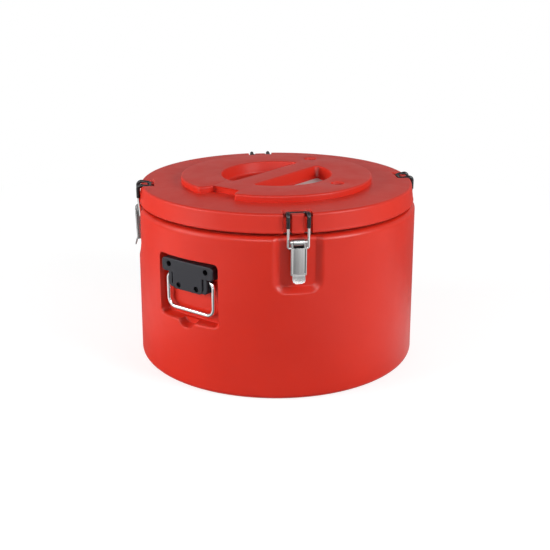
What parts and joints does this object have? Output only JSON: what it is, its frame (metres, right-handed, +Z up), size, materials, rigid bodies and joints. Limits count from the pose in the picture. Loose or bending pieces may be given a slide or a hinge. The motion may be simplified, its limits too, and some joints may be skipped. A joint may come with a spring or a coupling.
{
  "type": "insulated beverage container",
  "caption": "Round insulated drink container with a double-walled body, a lift-off lid with a grip bar, draw latches and folding side handles.",
  "frame": {"origin": "centre of the base, on the plane it stands on", "axes": "+Z up along the body's axis; the two handles are on the X axis, with the lid's edge notch over the one at -X; the latches stand on the diagonals"},
  "size_m": [0.436, 0.436, 0.2825],
  "materials": {
    "shell": "smooth satin moulded polyethylene, red",
    "insulation": "rigid foam, cream, hidden between the walls",
    "liner": "satin stainless sheet",
    "gasket": "matt silicone, off-white",
    "latch_steel": "satin stainless sheet and wire",
    "sleeve": "matt black rubber",
    "bracket": "satin black moulded plastic",
    "chrome": "bright polished rod",
    "screw": "blackened steel"
  },
  "bodies": {
    "container": {"outer_shell": "shell", "body_insulation": "insulation", "inner_liner": "liner", "front_left_latch_base": "latch_steel", "front_left_latch_hinge_pin": "latch_steel", "front_left_latch_upper_rivet": "latch_steel", "front_left_latch_lower_rivet": "latch_steel", "front_right_latch_base": "latch_steel", "front_right_latch_hinge_pin": "latch_steel", "front_right_latch_upper_rivet": "latch_steel", "front_right_latch_lower_rivet": "latch_steel", "rear_right_latch_base": "latch_steel", "rear_right_latch_hinge_pin": "latch_steel", "rear_right_latch_upper_rivet": "latch_steel", "rear_right_latch_lower_rivet": "latch_steel", "rear_left_latch_base": "latch_steel", "rear_left_latch_hinge_pin": "latch_steel", "rear_left_latch_upper_rivet": "latch_steel", "rear_left_latch_lower_rivet": "latch_steel", "left_handle_bracket": "bracket", "left_handle_upper_left_screw": "screw", "left_handle_lower_left_screw": "screw", "left_handle_upper_right_screw": "screw", "left_handle_lower_right_screw": "screw", "right_handle_bracket": "bracket", "right_handle_upper_left_screw": "screw", "right_handle_lower_left_screw": "screw", "right_handle_upper_right_screw": "screw", "right_handle_lower_right_screw": "screw"},
    "lid": {"lid_shell": "shell", "lid_insulation": "insulation", "lid_liner": "liner", "lid_gasket": "gasket", "lid_front_filling_plug": "shell", "lid_side_filling_plug": "shell"},
    "front_left_latch_lever": {"front_left_latch_lever": "latch_steel"},
    "front_left_latch_bail": {"front_left_latch_bail": "latch_steel", "front_left_latch_bail_sleeve": "sleeve"},
    "front_right_latch_lever": {"front_right_latch_lever": "latch_steel"},
    "front_right_latch_bail": {"front_right_latch_bail": "latch_steel", "front_right_latch_bail_sleeve": "sleeve"},
    "rear_right_latch_lever": {"rear_right_latch_lever": "latch_steel"},
    "rear_right_latch_bail": {"rear_right_latch_bail": "latch_steel", "rear_right_latch_bail_sleeve": "sleeve"},
    "rear_left_latch_lever": {"rear_left_latch_lever": "latch_steel"},
    "rear_left_latch_bail": {"rear_left_latch_bail": "latch_steel", "rear_left_latch_bail_sleeve": "sleeve"},
    "left_handle_bail": {"left_handle_bail": "chrome"},
    "right_handle_bail": {"right_handle_bail": "chrome"}
  },
  "joints": [
    {"name": "lid_lift", "type": "slide", "parent": "container", "child": "lid", "axis": [0, 0, 1], "range_m": [0, 0.014]},
    {"name": "front_left_latch_lever_hinge", "type": "hinge", "parent": "container", "child": "front_left_latch_lever", "pos_m": [-0.15167, -0.15167, 0.234], "axis": [-0.7071, 0.7071, 0], "range_deg": [0, 60]},
    {"name": "front_left_latch_bail_hinge", "type": "hinge", "parent": "front_left_latch_lever", "child": "front_left_latch_bail", "pos_m": [-0.14955, -0.14955, 0.225], "axis": [0.7071, -0.7071, 0], "range_deg": [0, 170]},
    {"name": "front_right_latch_lever_hinge", "type": "hinge", "parent": "container", "child": "front_right_latch_lever", "pos_m": [0.15167, -0.15167, 0.234], "axis": [-0.7071, -0.7071, 0], "range_deg": [0, 60]},
    {"name": "front_right_latch_bail_hinge", "type": "hinge", "parent": "front_right_latch_lever", "child": "front_right_latch_bail", "pos_m": [0.14955, -0.14955, 0.225], "axis": [0.7071, 0.7071, 0], "range_deg": [0, 170]},
    {"name": "rear_right_latch_lever_hinge", "type": "hinge", "parent": "container", "child": "rear_right_latch_lever", "pos_m": [0.15167, 0.15167, 0.234], "axis": [0.7071, -0.7071, 0], "range_deg": [0, 60]},
    {"name": "rear_right_latch_bail_hinge", "type": "hinge", "parent": "rear_right_latch_lever", "child": "rear_right_latch_bail", "pos_m": [0.14955, 0.14955, 0.225], "axis": [-0.7071, 0.7071, 0], "range_deg": [0, 170]},
    {"name": "rear_left_latch_lever_hinge", "type": "hinge", "parent": "container", "child": "rear_left_latch_lever", "pos_m": [-0.15167, 0.15167, 0.234], "axis": [0.7071, 0.7071, 0], "range_deg": [0, 60]},
    {"name": "rear_left_latch_bail_hinge", "type": "hinge", "parent": "rear_left_latch_lever", "child": "rear_left_latch_bail", "pos_m": [-0.14955, 0.14955, 0.225], "axis": [-0.7071, -0.7071, 0], "range_deg": [0, 170]},
    {"name": "left_handle_bail_hinge", "type": "hinge", "parent": "container", "child": "left_handle_bail", "pos_m": [-0.204, 0, 0.1673], "axis": [0, 1, 0], "range_deg": [0, 95]},
    {"name": "right_handle_bail_hinge", "type": "hinge", "parent": "container", "child": "right_handle_bail", "pos_m": [0.204, 0, 0.1673], "axis": [0, -1, 0], "range_deg": [0, 95]}
  ],
  "couplings": [
    {"joint": "front_left_latch_lever_hinge", "follows": "lid_lift", "rad_per_m": 74.787},
    {"joint": "front_left_latch_bail_hinge", "follows": "lid_lift", "rad_per_m": 211.92},
    {"joint": "front_right_latch_lever_hinge", "follows": "lid_lift", "rad_per_m": 74.787},
    {"joint": "front_right_latch_bail_hinge", "follows": "lid_lift", "rad_per_m": 211.92},
    {"joint": "rear_right_latch_lever_hinge", "follows": "lid_lift", "rad_per_m": 74.787},
    {"joint": "rear_right_latch_bail_hinge", "follows": "lid_lift", "rad_per_m": 211.92},
    {"joint": "rear_left_latch_lever_hinge", "follows": "lid_lift", "rad_per_m": 74.787},
    {"joint": "rear_left_latch_bail_hinge", "follows": "lid_lift", "rad_per_m": 211.92}
  ]
}
